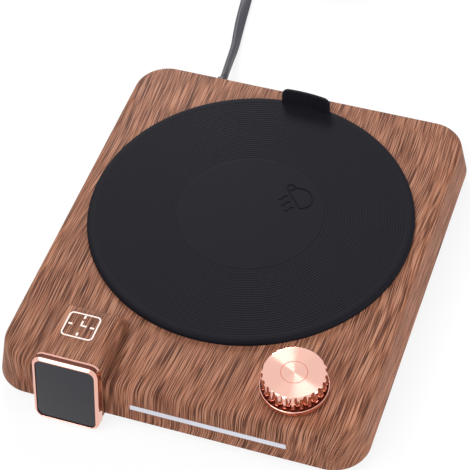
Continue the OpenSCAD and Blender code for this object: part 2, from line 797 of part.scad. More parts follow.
// Plated frame of the display: a rear ring, a groove, the front frame and a sleeve into the pod
module display_bezel() color("#f0b7a2") at_face() difference() {
    front_z = step_h + groove_h;
    sleeve_wall = sleeve_t + fit;
    union() {
        rounded_plate(bezel_w - 2 * step_in, bezel_h - 2 * step_in, bezel_r - step_in, step_h);
        rounded_plate(bezel_w - 2 * groove_in, bezel_h - 2 * groove_in, bezel_r - groove_in, front_z);
        translate([0, 0, front_z]) rounded_plate(bezel_w, bezel_h, bezel_r, bezel_t - front_z);
        translate([0, 0, -sleeve_l])
            rounded_plate(module_w + 2 * sleeve_wall, module_h + 2 * sleeve_wall, pod_r - pod_t, sleeve_l);
    }
    translate([0, 0, bezel_t - lens_t])
        rounded_plate(lens_w + 2 * fit, lens_h + 2 * fit, lens_r + fit, lens_t + past);
    translate([0, 0, -sleeve_l - past])
        cube([module_w + 2 * fit, module_h + 2 * fit, 4 * (bezel_t + sleeve_l)], center = true);
}

module display_lens() color("#3b3a3f")
    at_face() translate([0, 0, bezel_t - lens_t]) rounded_plate(lens_w, lens_h, lens_r, lens_t);

module display_module() color("#ececec") at_face()
    translate([-module_w / 2, -module_h / 2, bezel_t - lens_t - module_t])
        cube([module_w, module_h, module_t]);

module display_board() color("#1f5a3a") at_face()
    translate([-module_w / 2, -module_h / 2, bezel_t - lens_t - module_t - display_board_t])
        cube([module_w, module_h, display_board_t]);

// Copper touch electrode stuck under the pod's roof, below the printed clock
module touch_pad() color("#c77b4a")
    translate([pod_x, roof_y, roof_z]) rotate([roof_lean, 0, 0])
        translate([-touch_w / 2, touch_in, -touch_t - fit]) cube([touch_w, touch_l, touch_t]);

// Milky bar flush with the front wall, with a flange behind it
module light_diffuser() color("#d9dde2") at_bar() {
    translate([-bar_l / 2, -bar_h / 2, -wall_n]) cube([bar_l, bar_h, wall_n]);
    translate([-bar_l / 2 - bar_flange, -bar_h / 2 - bar_flange, -wall_n - flange_depth])
        cube([bar_l + 2 * bar_flange, bar_h + 2 * bar_flange, flange_depth]);
}

module light_leds() color("#f2efe2") at_bar()
    for (i = [0 : bar_leds - 1])
        translate([bar_l * ((i + 0.5) / bar_leds - 0.5), 0, -wall_n - flange_depth - led_t / 2])
            cube([led_w, led_h, led_t], center = true);

module light_board() color("#1f5a3a") at_bar()
    translate([0, 0, -wall_n - flange_depth - led_t - light_board_t / 2])
        cube([bar_l + 2 * bar_flange, bar_h + 2 * bar_flange, light_board_t], center = true);

// Strain relief in the back wall: inner collar, neck, flange on the leaning wall and a tapered tail
module cord_gland() color("#232327") {
    at_gland() translate([0, 0, -gland_inner]) {
        cylinder(d = gland_collar_d, h = gland_collar_l);
        cylinder(d = gland_neck_d, h = gland_inner + gland_flange_t);
    }
    difference() {
        at_gland() translate([0, 0, -shell_t]) cylinder(d = gland_flange_d, h = shell_t + gland_flange_t);
        translate(gland_mid) rotate([wall_lean, 0, 0])
            translate([-gland_flange_d, -2 * gland_flange_d, -gland_flange_d]) cube(2 * gland_flange_d);
    }
    at_gland() translate([0, 0, gland_flange_t]) intersection() {
        cylinder(d1 = gland_neck_d, d2 = gland_tip_h, h = gland_tail_l);
        rotate([90, 0, 0]) translate([0, 0, -gland_neck_d]) linear_extrude(2 * gland_neck_d)
            polygon([[-gland_neck_d / 2, 0], [gland_neck_d / 2, 0],
                [gland_tip_w / 2, gland_tail_l], [-gland_tip_w / 2, gland_tail_l]]);
    }
}

function lead_end(i) = [part_x + wire_step * (i + 1), terminal_y, wire_z];
function heater_lead_x(i) = lead_end(3 + i)[0];

// Mains leads from the gland's inner face to the terminal block
module supply_leads() color("#5b4632")
    for (i = [0, 1]) {
        inner = gland_mid + [(i - 0.5) * wire_step, -gland_inner, 0];
        wire([
            inner,
            inner - [0, wire_side, 0],
            inner + [wire_side, -2 * wire_run, wire_z - inner[2]],
            lead_end(i) + [-wire_side, wire_swing, 0],
            lead_end(i) + [0, wire_run, 0],
            lead_end(i)
        ]);
    }

// Heater leads from the element, down through the shield and on to the terminal block
module heater_leads() color("#c9c4b6")
    for (i = [0, 1])
        wire([
            [heater_lead_x(i), heater_lead_y, element_z0],
            [heater_lead_x(i), heater_lead_y, shield_z0 - wire_bend],
            [heater_lead_x(i), heater_lead_y - wire_bend, wire_z + wire_bend],
            [heater_lead_x(i), heater_lead_y - wire_side, wire_z],
            lead_end(3 + i)
        ]);

module sensor_lead() color("#e9e6dd")
    wire([
        [0, plate_y, pad_z0],
        [0, plate_y, shield_z0 - wire_bend],
        [wire_bend, plate_y - wire_step, shield_z0 - 2 * wire_bend],
        lead_end(2) + [-wire_step, wire_swing, 0],
        lead_end(2) + [0, wire_run, 0],
        lead_end(2)
    ]);

module power_cord() color("#3a3a40") swept(cord_route, cord_section);

module cord_coil() color("#3a3a40") swept(coil_path, coil_section);

// Twist tie round the coil, opposite the cord's start
module cord_tie() color("#17171a") {
    tie_w = 6;
    inner = coil_r - coil_step * coil_turns / 2 - cord_t / 2 - tie_gap;
    outer = coil_r + cord_t / 2;
    low = tie_t;
    high = upper_z + cord_w / 2 + tie_gap;
    translate([coil_x + (inner + outer) / 2, coil_y + tie_w / 2, (low + high) / 2]) rotate([90, 0, 0])
        difference() {
            rounded_plate(outer - inner + 2 * tie_t, high - low + 2 * tie_t, 2 * tie_t, tie_w);
            translate([0, 0, -past]) rounded_plate(outer - inner, high - low, tie_t, tie_w + 2 * past);
        }
}

module at_plug() {
    translate(plug_start) rotate([90, 0, 90]) children();
}

module at_blades() {
    for (x = [-1, 1])
        translate([x * blade_gap / 2 - blade_t / 2, -blade_w / 2, plug_tail_l + plug_l - blade_sunk])
            children();
}

// Moulded plug on the table: tapered tail, rounded body and sockets for the blades
module plug_body() color("#2e2e33") at_plug() difference() {
    union() {
        cylinder(d1 = plug_tail_d, d2 = plug_tail_d + plug_tail_grow, h = plug_tail_l);
        translate([0, 0, plug_tail_l]) rounded_plate(plug_w, plug_h, plug_r, plug_l);
    }
    at_blades() cube([blade_t, blade_w, blade_sunk + past]);
}

module plug_blades() color("#c8b98a") at_plug() at_blades() cube([blade_t, blade_w, blade_sunk + blade_l]);

top_housing();
base_cover();
rubber_feet();
base_screws();
silicone_mat();
heating_plate();
heating_element();
insulation_pad();
heat_shield();
shield_screws();
temperature_sensor();
thermal_fuse();
fuse_clip();
knob_cap();
knob_core();
encoder_shaft();
encoder_rotor();
encoder_body();
encoder_base();
switch_dome();
encoder_washer();
encoder_nut();
control_board();
board_screws();
transformer();
relay();
buzzer();
terminal_block();
display_bezel();
display_lens();
display_module();
display_board();
touch_pad();
light_diffuser();
light_leds();
light_board();
cord_gland();
supply_leads();
heater_leads();
sensor_lead();
power_cord();
cord_coil();
cord_tie();
plug_body();
plug_blades();
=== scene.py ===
import bmesh
import bpy
import math
from mathutils import Matrix, Quaternion, Vector


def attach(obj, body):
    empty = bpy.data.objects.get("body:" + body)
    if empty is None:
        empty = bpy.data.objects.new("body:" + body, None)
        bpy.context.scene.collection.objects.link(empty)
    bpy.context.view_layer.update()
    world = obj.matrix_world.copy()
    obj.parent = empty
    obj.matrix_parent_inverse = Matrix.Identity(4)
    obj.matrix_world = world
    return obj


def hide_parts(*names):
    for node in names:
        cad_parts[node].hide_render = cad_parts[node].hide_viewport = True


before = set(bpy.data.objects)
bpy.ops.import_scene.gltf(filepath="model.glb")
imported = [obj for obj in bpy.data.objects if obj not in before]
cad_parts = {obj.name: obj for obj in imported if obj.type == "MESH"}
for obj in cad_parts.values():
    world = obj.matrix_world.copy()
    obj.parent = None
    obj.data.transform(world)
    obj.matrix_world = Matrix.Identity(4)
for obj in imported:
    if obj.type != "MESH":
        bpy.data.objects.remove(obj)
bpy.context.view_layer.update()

# Housing: one ABS moulding with leaning walls and the display's pod, wrapped in a printed walnut film
# under satin lacquer. The film's grain runs front to back and folds down over the front and back walls.
mm = 0.001  # all sizes in this file are in mm, and the scene is in metres
deck_w = 150
deck_l = 175
wall_h = 17.2
foot_h = 5.5
deck_z = foot_h + wall_h
flare = 2.7
corner_r = 14.5
edge_r = 2.5
shell_t = 2.4
wall_lean = math.atan(flare / wall_h)
past = 1  # how far a cut runs past a face
near = 0.01  # places closer than this count as the same


def start_piece(name, add, **settings):
    """Adds a primitive as a new piece of its own, in edit mode with nothing selected."""
    bpy.ops.object.select_all(action="DESELECT")
    add(**settings)
    piece = bpy.context.object
    piece.name = name
    piece.data.name = name
    bpy.ops.object.mode_set(mode="EDIT")
    bpy.ops.mesh.select_all(action="DESELECT")
    return piece


def pick(piece, faces=None, edges=None, verts=None):
    """Selects the faces, edges or points that pass the test, in edit mode."""
    bpy.ops.mesh.select_all(action="DESELECT")
    work = bmesh.from_edit_mesh(piece.data)
    work.select_mode = {"VERT" if verts else "EDGE" if edges else "FACE"}
    for face in work.faces if faces else ():
        face.select_set(faces(face))
    for edge in work.edges if edges else ():
        edge.select_set(edges(edge))
    for vert in work.verts if verts else ():
        vert.select_set(verts(vert))
    work.select_flush_mode()
    bmesh.update_edit_mesh(piece.data)


def end_piece(piece):
    """Leaves edit mode and puts the piece's place into its mesh."""
    bpy.ops.object.mode_set(mode="OBJECT")
    bpy.ops.object.select_all(action="DESELECT")
    piece.select_set(True)
    bpy.context.view_layer.objects.active = piece
    bpy.ops.object.transform_apply(location=True, rotation=True, scale=True)
    return piece


def at_height(z):
    """A test for points at that height."""
    return lambda vert: abs(vert.co.z / mm - z) < near


def leaning_block(name, width, length, low, high, lean_out, radius):
    """A block with round corners whose walls lean out by that much at the low end, in edit mode."""
    block = start_piece(name, bpy.ops.mesh.primitive_cube_add, size=1)
    bpy.ops.mesh.select_all(action="SELECT")
    bpy.ops.transform.resize(value=(width * mm, length * mm, (high - low) * mm))
    bpy.ops.transform.translate(value=(0, 0, (low + high) / 2 * mm))
    upright = (high - low) / 2 * mm
    pick(block, edges=lambda edge: abs(edge.verts[0].co.z - edge.verts[1].co.z) > upright)
    bpy.ops.mesh.bevel(offset=radius * mm, segments=20, affect="EDGES")
    pick(block, verts=at_height(low))
    bpy.ops.transform.resize(value=(1 + 2 * lean_out / width, 1 + 2 * lean_out / length, 1))
    return block


housing = leaning_block("housing", deck_w, deck_l, foot_h, deck_z, flare, corner_r)
pick(housing, edges=lambda edge: all(map(at_height(deck_z), edge.verts)))
edge_cut = edge_r * math.tan(math.pi / 4 - wall_lean / 2)
bpy.ops.mesh.bevel(offset=edge_cut * mm, segments=8, affect="EDGES")
end_piece(housing)

# The display's seat leans back, and the pod runs from it to a steep back end on the deck
seat_w = 28.4
seat_h = 33.4
seat_r = 5.2
seat_clear = 0.9
seat_lean = math.radians(10.6)
display_side = 33.5
pod_in = 0.9
pod_out = 3
pod_h = 9.7
pod_w = seat_w - 2 * pod_in
pod_face_h = seat_h - 2 * pod_in
pod_r = seat_r - pod_in
pod_t = 1.6
pod_l = 27.5
pod_straight = 4
pod_x = display_side - deck_w / 2
seat_z = seat_clear + seat_h / 2 * math.cos(seat_lean)
seat_y = -deck_l / 2 - flare - pod_out + (seat_z - foot_h) * math.tan(seat_lean)
seat_place = Matrix.Translation(Vector((pod_x, seat_y, seat_z)) * mm)
seat_frame = seat_place @ Matrix.Rotation(math.pi / 2 - seat_lean, 4, "X")
pod_top_z = deck_z + pod_h
pod_back_y = seat_y + pod_face_h / 2 * math.sin(seat_lean) + pod_l
pod_back_r = 3.4
pod_back_run = 5
pod_steps = 72


def pod_block(name, inset, front):
    """The pod: round corner bars behind the bezel, a round upper back edge and a steep back, joined."""
    width, height = pod_w - 2 * inset, pod_face_h - 2 * inset
    bar_r, back_r = pod_r - inset, pod_back_r - inset
    pod = start_piece(name, bpy.ops.mesh.primitive_cube_add, size=mm)
    bpy.ops.mesh.select_all(action="SELECT")
    bpy.ops.mesh.delete(type="VERT")
    for side in (-1, 1):
        for rise in (-1, 1):
            corner = Vector((side * (width / 2 - bar_r), rise * (height / 2 - bar_r)))
            middle = corner.to_3d() + Vector((0, 0, (front - pod_straight) / 2))
            bpy.ops.mesh.primitive_cylinder_add(
                vertices=pod_steps, radius=bar_r * mm, depth=(pod_straight + front) * mm,
                location=seat_frame @ (middle * mm), rotation=(math.pi / 2 - seat_lean, 0, 0))
        back_x = pod_x + side * (width / 2 - back_r)
        upper = Vector((back_x, pod_back_y - pod_back_r, pod_top_z - pod_back_r))
        bpy.ops.mesh.primitive_uv_sphere_add(segments=56, ring_count=28, radius=back_r * mm,
                                             location=upper * mm)
        lower = Vector((back_x, pod_back_y + pod_back_run - pod_back_r, deck_z - shell_t / 2))
        bpy.ops.mesh.primitive_cylinder_add(vertices=pod_steps, radius=back_r * mm, depth=shell_t * mm,
                                            location=lower * mm)
    bpy.ops.mesh.select_all(action="SELECT")
    bpy.ops.mesh.convex_hull()
    return end_piece(pod)


def combine(piece, other, operation):
    """Joins another solid to a piece, or cuts it out, and uses it up."""
    change = piece.modifiers.new("combine", "BOOLEAN")
    change.operation = operation
    change.solver = "EXACT"
    change.object = other
    bpy.ops.object.select_all(action="DESELECT")
    bpy.context.view_layer.objects.active = piece
    bpy.ops.object.modifier_apply(modifier=change.name)
    bpy.data.objects.remove(other)


def bore(radius, depth, middle, steps, tip=0.0):
    """Cuts a round hole in the housing, upright or tipped about the cross axis."""
    hole = start_piece("hole", bpy.ops.mesh.primitive_cylinder_add, vertices=steps, radius=radius * mm,
                       depth=depth * mm, location=Vector(middle) * mm, rotation=(tip, 0, 0))
    combine(housing, end_piece(hole), "DIFFERENCE")


combine(housing, pod_block("pod", 0, 0), "UNION")
cavity_in = shell_t * (1 - flare / wall_h)
cavity = leaning_block("cavity", deck_w - 2 * cavity_in, deck_l - 2 * cavity_in, foot_h - past,
                       deck_z - shell_t, flare, corner_r - shell_t)
combine(housing, end_piece(cavity), "DIFFERENCE")
combine(housing, pod_block("pod_hollow", pod_t, past), "DIFFERENCE")

# Holes for the heating plate with its ledge, the knob's bushing, the light bar and the lead's gland
through = 20
mat_side = 6
mat_back = 7.1
mat_r = deck_w / 2 - mat_side
plate_in = 6
plate_r = mat_r - plate_in
plate_y = deck_l / 2 - mat_back - mat_r
plate_fit = 0.2
plate_steps = 160
ledge_w = 3
flange_t = 1.2
bore(plate_r - ledge_w + plate_fit, through, (0, plate_y, deck_z), plate_steps)
bore(plate_r + plate_fit, 2 * flange_t, (0, plate_y, deck_z), plate_steps)
knob_side = 30
knob_front = 18.2
knob_x = deck_w / 2 - knob_side
knob_y = knob_front - deck_l / 2
bush_hole_r = 3.55
small_steps = 48
bore(bush_hole_r, through, (knob_x, knob_y, deck_z), small_steps)
bar_side = 59.8
bar_up = 6.7
bar_y = -deck_l / 2 - flare * (1 - bar_up / wall_h)
bar_middle = Vector((deck_w / 2 - bar_side, bar_y, foot_h + bar_up))
bar_slot_size = Vector((64.6, 14, 2.4))
bar_slot = start_piece("bar_slot", bpy.ops.mesh.primitive_cube_add, size=1, location=bar_middle * mm,
                       rotation=(-wall_lean, 0, 0), scale=bar_slot_size * mm)
combine(housing, end_piece(bar_slot), "DIFFERENCE")
gland_side = 32
gland_up = 4
gland_x = gland_side - deck_w / 2
gland_z = foot_h + gland_up
gland_hole_r = 3.45
bore(gland_hole_r, through, (gland_x, deck_l / 2, gland_z), small_steps, tip=math.pi / 2)
bpy.ops.object.select_all(action="DESELECT")
housing.select_set(True)
bpy.context.view_layer.objects.active = housing
bpy.ops.object.shade_smooth_by_angle(angle=math.radians(28))


def film_place(p, width, length, radius, top, middle):
    """Where a point of the moulding lies on the flat film: walls unfold outwards from the top."""
    reach_x, reach_y = width / 2 - radius, length / 2 - radius
    spot = p.to_2d() - Vector(middle)
    inner = Vector((max(-reach_x, min(reach_x, spot.x)), max(-reach_y, min(reach_y, spot.y))))
    out = spot - inner
    drop = max(0, top - p.z)
    return p.to_2d() + (out.normalized() * drop if out.length > 1e-6 else out)


# The film's map: the deck with its walls and the pod unfold as two sheets
film_unit = 100  # this much film is one unit of the map
deck_film = {"width": deck_w, "length": deck_l, "radius": corner_r, "top": deck_z, "middle": (0, 0)}
pod_film = {"width": pod_w, "length": 30, "radius": 4, "top": pod_top_z + 0.2, "middle": (pod_x, -75)}
pod_foot_z = deck_z + 0.05
pod_reach = 14
pod_end_y = -54
pod_front_y = -90.5
film = housing.data.uv_layers.new(name="film")
for loop in housing.data.loops:
    p = housing.data.vertices[loop.vertex_index].co / mm
    by_pod = abs(p.x - pod_x) < pod_reach and p.y < pod_end_y
    on_pod = by_pod and (p.z > pod_foot_z or p.y < pod_front_y)
    film.data[loop.index].uv = film_place(p, **(pod_film if on_pod else deck_film)) / film_unit


def srgb(code):
    """Linear RGBA of an sRGB hex colour."""
    parts = [int(code[i:i + 2], 16) / 255 for i in (1, 3, 5)]
    return [c / 12.92 if c <= 0.04045 else ((c + 0.055) / 1.055) ** 2.4 for c in parts] + [1]


def add_node(material, kind, links=(), **settings):
    """Adds a shader node. A setting is an attribute or an input's value; a link is (input, socket)."""
    node = material.node_tree.nodes.new(kind)
    for name, value in settings.items():
        if hasattr(node, name):
            setattr(node, name, value)
        else:
            node.inputs[name.replace("_", " ")].default_value = value
    for key, socket in links:
        material.node_tree.links.new(socket, node.inputs[key])
    return node


def new_material(name, colour, roughness, metallic=0.0):
    """A material with its Principled shader set, and the shader itself."""
    material = bpy.data.materials.new(name)
    material.use_nodes = True
    shader = material.node_tree.nodes["Principled BSDF"]
    shader.inputs["Base Color"].default_value = srgb(colour)
    shader.inputs["Roughness"].default_value = roughness
    shader.inputs["Metallic"].default_value = metallic
    return material, shader


# Printed film: red-brown walnut with broad bands, fine streaks and thin dark pores, and a faint shine
walnut, walnut_skin = new_material("printed_walnut_film", "#8f5f46", 0.55)
walnut_skin.inputs["Specular IOR Level"].default_value = 0.1
walnut_link = walnut.node_tree.links.new
unrolled = add_node(walnut, "ShaderNodeUVMap", uv_map="film")
sheet = add_node(walnut, "ShaderNodeMapping", [("Vector", unrolled.outputs["UV"])],
                 Scale=(film_unit, film_unit, 1), Rotation=(0, 0, math.radians(1)))
# The grain sways to the side in slow waves
wave_l = 71.4
wave = add_node(walnut, "ShaderNodeTexNoise", [("Vector", sheet.outputs["Vector"])],
                Scale=1 / wave_l, Detail=0)
sway = add_node(walnut, "ShaderNodeVectorMath",
                [(0, wave.outputs["Color"]), (2, sheet.outputs["Vector"])], operation="MULTIPLY_ADD")
sway_w = 9
sway.inputs[1].default_value = (-sway_w, 0, 0)


def grain(width, length, detail):
    """Noise drawn out along the grain, in streaks of that width and length."""
    stretch = add_node(walnut, "ShaderNodeMapping", [("Vector", sway.outputs["Vector"])],
                       Scale=(1 / width, 1 / length, 1))
    noise = add_node(walnut, "ShaderNodeTexNoise", [("Vector", stretch.outputs["Vector"])],
                     Scale=1, Detail=detail, Roughness=0.6)
    return noise.outputs["Fac"]


bands = grain(8, 130, 2)
streaks = grain(2, 60, 4)
pores = grain(0.36, 20, 1)  # drawn about a pixel wide, coarser than real pores, so that they show
clusters = grain(3, 26, 2)
tones = add_node(walnut, "ShaderNodeValToRGB", [("Fac", streaks)])
tones.color_ramp.elements[0].position = 0.30
tones.color_ramp.elements[0].color = srgb("#84543f")
tones.color_ramp.elements[1].position = 0.70
tones.color_ramp.elements[1].color = srgb("#a97357")
tones.color_ramp.elements.new(0.5).color = srgb("#966149")
broad = add_node(walnut, "ShaderNodeMapRange", [("Value", bands)],
                 From_Min=0.3, From_Max=0.7, To_Min=0.84, To_Max=1.14)
shaded = add_node(walnut, "ShaderNodeMix", [("A", tones.outputs["Color"]), ("B", broad.outputs["Result"])],
                  data_type="RGBA", blend_type="MULTIPLY", Factor=1)
pore_mask = add_node(walnut, "ShaderNodeMapRange", [("Value", pores)], From_Min=0.48, From_Max=0.54)
pore_share = add_node(walnut, "ShaderNodeMapRange", [("Value", clusters)],
                      From_Min=0.34, From_Max=0.62, To_Min=0.6, To_Max=0.9)
pore_ink = add_node(walnut, "ShaderNodeMath",
                    [(0, pore_mask.outputs["Result"]), (1, pore_share.outputs["Result"])],
                    operation="MULTIPLY")
inked = add_node(walnut, "ShaderNodeMix",
                 [("A", shaded.outputs["Result"]), ("Factor", pore_ink.outputs["Value"])],
                 data_type="RGBA", B=srgb("#3a2019"))
# Painted sheen: thin pale pinkish lines beside the dark pores stand in for light catching the film's grain
painted_sheen_share = add_node(walnut, "ShaderNodeMapRange", [("Value", pores)],
                       From_Min=0.47, From_Max=0.40, To_Max=0.3)
sheen_lined = add_node(walnut, "ShaderNodeMix",
                 [("A", inked.outputs["Result"]), ("Factor", painted_sheen_share.outputs["Result"])],
                 data_type="RGBA", B=srgb("#c49c86"))
pore_depth = 0.12
pore_bump = add_node(walnut, "ShaderNodeBump", [("Height", pores)], Strength=0.5,
                     Distance=pore_depth * mm, invert=True)
walnut_link(sheen_lined.outputs["Result"], walnut_skin.inputs["Base Color"])
walnut_link(pore_bump.outputs["Normal"], walnut_skin.inputs["Normal"])
housing.data.materials.append(walnut)
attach(housing, "housing")
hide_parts("top_housing")


# Heater under the mat: a turned aluminium plate, a film element, a felt pad, a pressed steel shield,
# a sensor cup and a fuse in its clip, stacked and screwed up from below. The plate shows without the mat.
def fine_skin(name, colour, roughness, grit, depth, metallic=0.0, specular=0.5):
    """Skin with a grit of that size and depth and with faint patches in tone and gloss."""
    material, shader = new_material(name, colour, roughness, metallic)
    shader.inputs["Specular IOR Level"].default_value = specular
    link = material.node_tree.links.new
    place = add_node(material, "ShaderNodeTexCoord").outputs["Object"]
    # Real grit is finer, and it is drawn this coarse so that it shows
    fine = add_node(material, "ShaderNodeTexNoise", [("Vector", place)], Scale=1 / (grit * mm), Detail=3)
    patch_w = 16.67
    patch = add_node(material, "ShaderNodeTexNoise", [("Vector", place)], Scale=1 / (patch_w * mm), Detail=2)
    dark, pale = [[min(1, c * share) for c in srgb(colour)] for share in (0.88, 1.12)]
    tone = add_node(material, "ShaderNodeMix", [("Factor", patch.outputs["Fac"])], data_type="RGBA",
                    A=dark[:3] + [1], B=pale[:3] + [1])
    gloss = add_node(material, "ShaderNodeMapRange", [("Value", patch.outputs["Fac"])],
                     To_Min=roughness - 0.05, To_Max=roughness + 0.05)
    bump = add_node(material, "ShaderNodeBump", [("Height", fine.outputs["Fac"])],
                    Strength=0.35, Distance=depth * mm)
    link(tone.outputs["Result"], shader.inputs["Base Color"])
    link(gloss.outputs["Result"], shader.inputs["Roughness"])
    link(bump.outputs["Normal"], shader.inputs["Normal"])
    return material


def dress(material, *names):
    """Gives built pieces this material."""
    for name in names:
        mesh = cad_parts[name].data
        mesh.materials.clear()
        mesh.materials.append(material)


aluminium = fine_skin("turned_aluminium", "#b7babd", 0.38, 0.6, 0.02, metallic=1.0)  # pale satin metal
polyimide = fine_skin("polyimide_film", "#b87a2f", 0.35, 2.0, 0.02)  # amber with a soft shine
felt = fine_skin("needled_felt", "#d8d3c6", 0.95, 0.5, 0.15)  # cream, rough and without shine
zinc = fine_skin("zinc_plated_steel", "#9a9da2", 0.32, 1.5, 0.03, metallic=1.0)  # grey metal, cloudy shine
tinned = fine_skin("tinned_can", "#c7c7c9", 0.3, 1.0, 0.02, metallic=1.0)  # bright metal, a little cloudy
dress(aluminium, "heating_plate")
dress(polyimide, "heating_element")
dress(felt, "insulation_pad")
dress(zinc, "heat_shield", "fuse_clip", "shield_screws")
dress(tinned, "temperature_sensor", "thermal_fuse")

# Electronics inside: a control board with a taped transformer, a relay, a buzzer and a terminal block,
# a touch pad and sleeved leads. They are screwed into the housing and closed in by the base cover.
solder_mask = fine_skin("solder_mask", "#1f5a3a", 0.35, 1.2, 0.02)  # dark green with a soft shine
tape = fine_skin("polyester_tape", "#cdb23e", 0.45, 1.5, 0.03)  # yellow with a soft shine
epoxy = fine_skin("moulded_epoxy", "#18181a", 0.4, 0.8, 0.03)  # black with a satin shine
foil = fine_skin("copper_foil", "#c87d4f", 0.3, 1.0, 0.02, metallic=1.0)  # warm red metal, soft shine
sleeve = fine_skin("silicone_sleeve", "#bfae95", 0.6, 0.8, 0.03)  # beige and matt
white_nylon = fine_skin("moulded_white_nylon", "#d9d9d4", 0.5, 0.8, 0.04)  # off-white with a satin shine
dress(solder_mask, "control_board", "display_board", "light_board")
dress(tape, "transformer")
dress(epoxy, "relay", "buzzer")
dress(foil, "touch_pad")
dress(sleeve, "supply_leads", "heater_leads", "sensor_lead")
dress(white_nylon, "display_module", "terminal_block")
dress(zinc, "board_screws")

# Light bar: a strip of milky polycarbonate pressed into the front wall, with light sources on a narrow
# board behind it. The bar is off in the photograph.
milky = fine_skin("milky_polycarbonate", "#c9cad4", 0.35, 2.0, 0.02)  # pale cool grey, satin and even
dress(milky, "light_diffuser", "light_leds")

# Knob: a turned and fluted cap in rose-gold plating with a spun top and a cut ring.
# A moulded core inside it takes the encoder's flatted steel shaft; it turns and presses.
knob_r = 12.8
knob_gap = 0.8
knob_h = 11.4
knob_low = deck_z + knob_gap
knob_top = deck_z + knob_h
flutes = 24
flute_steps = 18
groove_steps = 12
groove_depth = 0.7
flute_foot = 2.1
rim_h = 3
gap_w = 0.56
cap_t = 1.2
core_r = knob_r - cap_t
knob_middle = Vector((knob_x, knob_y, 0))
knob = start_piece("knob", bpy.ops.mesh.primitive_circle_add, vertices=flutes * flute_steps,
                   radius=core_r * mm, fill_type="NGON", location=Vector((knob_x, knob_y, knob_low)) * mm)
end_piece(knob)
bpy.ops.object.mode_set(mode="EDIT")
# How far each ring of the outside goes out and up from the last, from the foot to the middle of the top
skirt_rings = [(1.5, 0), (0.35, 0.3), (0.25, rim_h - 0.55)]
rim_rings = [(-0.07, 0.17), (-0.13, 0.08), (-0.08, 0), (-0.06, -0.05)]
gap_rings = [(0, flute_foot - rim_h + 0.05), (0.06 - gap_w, 0), (-0.06, 0)]
edge_rings = [(-0.42, 0.42), (-0.16, 0.14), (-0.14, 0.06), (-0.08, 0)]
side_rings = [(0, knob_top - knob_low - flute_foot - sum(rise for out, rise in edge_rings))]
cut_rings = [(-6.5, 0), (-0.1, 0), (-0.12, -0.2), (-0.16, 0), (-0.12, 0.2), (-0.1, 0)]
bpy.ops.mesh.select_all(action="SELECT")
radius = core_r
for out, rise in skirt_rings + rim_rings + gap_rings + side_rings + edge_rings + cut_rings:
    bpy.ops.mesh.extrude_region_move(TRANSFORM_OT_translate={"value": (0, 0, rise * mm)})
    factor = (radius + out) / radius
    bpy.ops.transform.resize(value=(factor, factor, 1), center_override=knob_middle * mm)
    radius += out
# Flutes: round grooves between flat lands, cut straight up through the rounded edge
pitch = 2 * math.pi * knob_r / flutes
groove_half = pitch * groove_steps / flute_steps / 2
groove_r = (groove_half ** 2 + groove_depth ** 2) / (2 * groove_depth)
work = bmesh.from_edit_mesh(knob.data)
for vert in work.verts:
    arm = (vert.co / mm - knob_middle).to_2d()
    turn = math.atan2(arm.y, arm.x) / (2 * math.pi) * flutes
    across = (turn - math.floor(turn) - 0.5) * pitch
    on_side = vert.co.z / mm > knob_low + flute_foot - near and arm.length < knob_r + near
    if on_side and abs(across) < groove_half:
        depth = math.sqrt(groove_r ** 2 - across ** 2) - groove_r + groove_depth
        reach = min(arm.length, knob_r - depth) / arm.length
        vert.co.x = (knob_x + arm.x * reach) * mm
        vert.co.y = (knob_y + arm.y * reach) * mm
bmesh.update_edit_mesh(knob.data)
bpy.ops.mesh.select_all(action="SELECT")
bpy.ops.mesh.normals_make_consistent(inside=False)
# Hollow from below, up to the core
foot_w = 1.0
hollow_h = 2.9
pick(knob, faces=lambda face: face.normal.z < -0.9 and face.calc_area() > (core_r * mm) ** 2)
bpy.ops.mesh.inset(thickness=foot_w * mm, depth=-hollow_h * mm)
end_piece(knob)
bpy.ops.object.shade_smooth_by_angle(angle=math.radians(32))

# Polished plating: warm pink metal that mirrors sharply, with a hint of wear
rose_gold, rose_skin = new_material("rose_gold_plating", "#f0b8a8", 0.1, metallic=1.0)
wear_w = 2.5
rose_place = add_node(rose_gold, "ShaderNodeTexCoord")
rose_wear = add_node(rose_gold, "ShaderNodeTexNoise", [("Vector", rose_place.outputs["Object"])],
                     Scale=1 / (wear_w * mm), Detail=3)
rose_gloss = add_node(rose_gold, "ShaderNodeMapRange", [("Value", rose_wear.outputs["Fac"])],
                      To_Min=0.04, To_Max=0.09)
rose_gold.node_tree.links.new(rose_gloss.outputs["Result"], rose_skin.inputs["Roughness"])
# Spun top: the same plating over fine turned circles, which draw each lamp out to a bright fan
spun_gold, spun_skin = new_material("spun_rose_gold", "#f3c0b1", 0.18, metallic=1.0)
spun_skin.inputs["Anisotropic"].default_value = 1.0
spun_skin.inputs["Anisotropic Rotation"].default_value = 0.25
spun_round = add_node(spun_gold, "ShaderNodeTangent", direction_type="RADIAL", axis="Z")
spun_gold.node_tree.links.new(spun_round.outputs["Tangent"], spun_skin.inputs["Tangent"])
# Painted shade: a dark red, dull plating colour put in the recesses where shade falls, the knob's gap and the
# bezel's upper seam and lens well
painted_shade_copper = fine_skin("painted_recess_shade", "#5a2d22", 0.6, 0.8, 0.02, specular=0.1)
for material in (rose_gold, spun_gold, painted_shade_copper):
    knob.data.materials.append(material)
